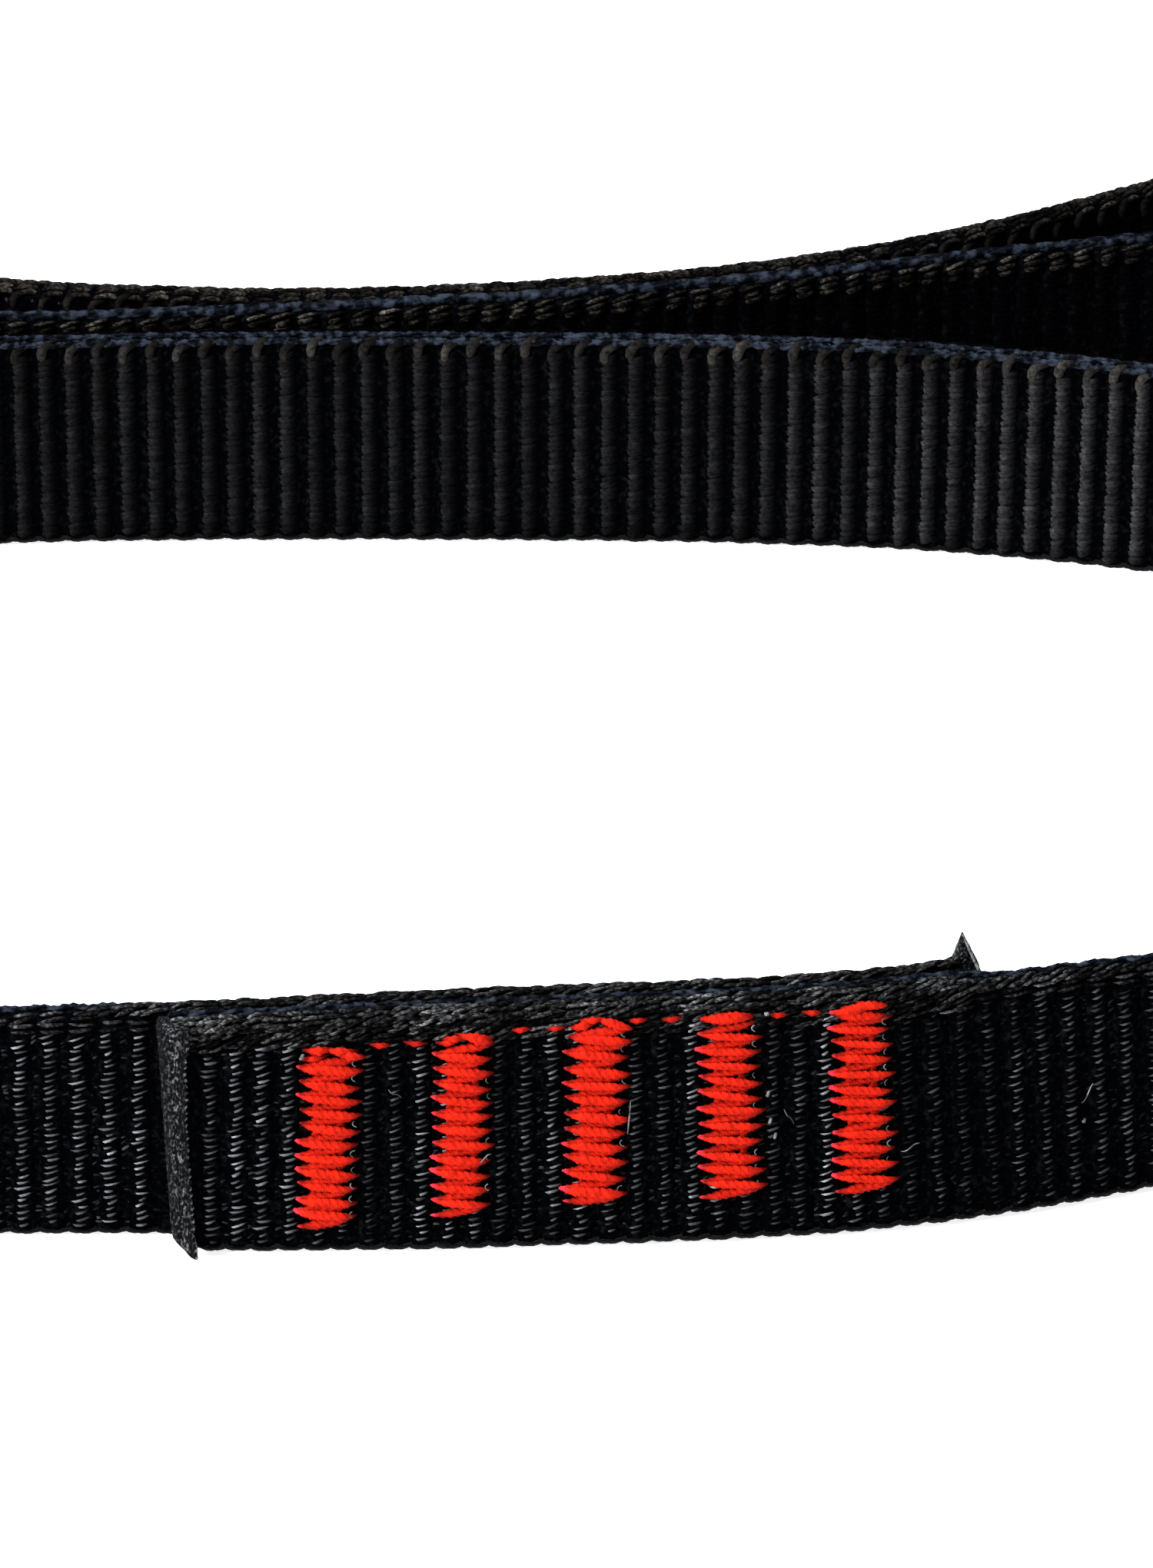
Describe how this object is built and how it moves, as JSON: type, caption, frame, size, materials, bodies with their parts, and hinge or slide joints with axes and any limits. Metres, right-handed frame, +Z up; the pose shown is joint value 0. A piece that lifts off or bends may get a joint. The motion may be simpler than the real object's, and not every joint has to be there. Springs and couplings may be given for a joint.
{
  "type": "climbing sling",
  "caption": "Closed loop of flat woven strap, lapped and bar-tacked, laid folded and standing on its edge; a connector clips through its eye.",
  "frame": {"origin": "on the ground under the middle of the lay's footprint", "axes": "+X along the longest extent of the lay, with the lap's outer tail starting on the -X side; +Y from the sewn front strand to the back strands; +Z up, across the strap's width"},
  "size_m": [0.3044, 0.1388, 0.017],
  "materials": {
    "strap_webbing": "woven black polyamide, ribbed across, semi-matt",
    "sewing_thread": "twisted red polyamide thread, slight sheen"
  },
  "bodies": {
    "root": {"strap": "strap_webbing", "front_tack_1": "sewing_thread", "front_tack_2": "sewing_thread", "front_tack_3": "sewing_thread", "front_tack_4": "sewing_thread", "front_tack_5": "sewing_thread", "back_tack_1": "sewing_thread", "back_tack_2": "sewing_thread", "back_tack_3": "sewing_thread", "back_tack_4": "sewing_thread", "back_tack_5": "sewing_thread", "front_run_1_1": "sewing_thread", "front_run_1_2": "sewing_thread", "front_run_2_1": "sewing_thread", "front_run_2_2": "sewing_thread", "front_run_3_1": "sewing_thread", "front_run_3_2": "sewing_thread", "front_run_4_1": "sewing_thread", "front_run_4_2": "sewing_thread", "back_run_1_1": "sewing_thread", "back_run_1_2": "sewing_thread", "back_run_2_1": "sewing_thread", "back_run_2_2": "sewing_thread", "back_run_3_1": "sewing_thread", "back_run_3_2": "sewing_thread", "back_run_4_1": "sewing_thread", "back_run_4_2": "sewing_thread"}
  },
  "joints": []
}
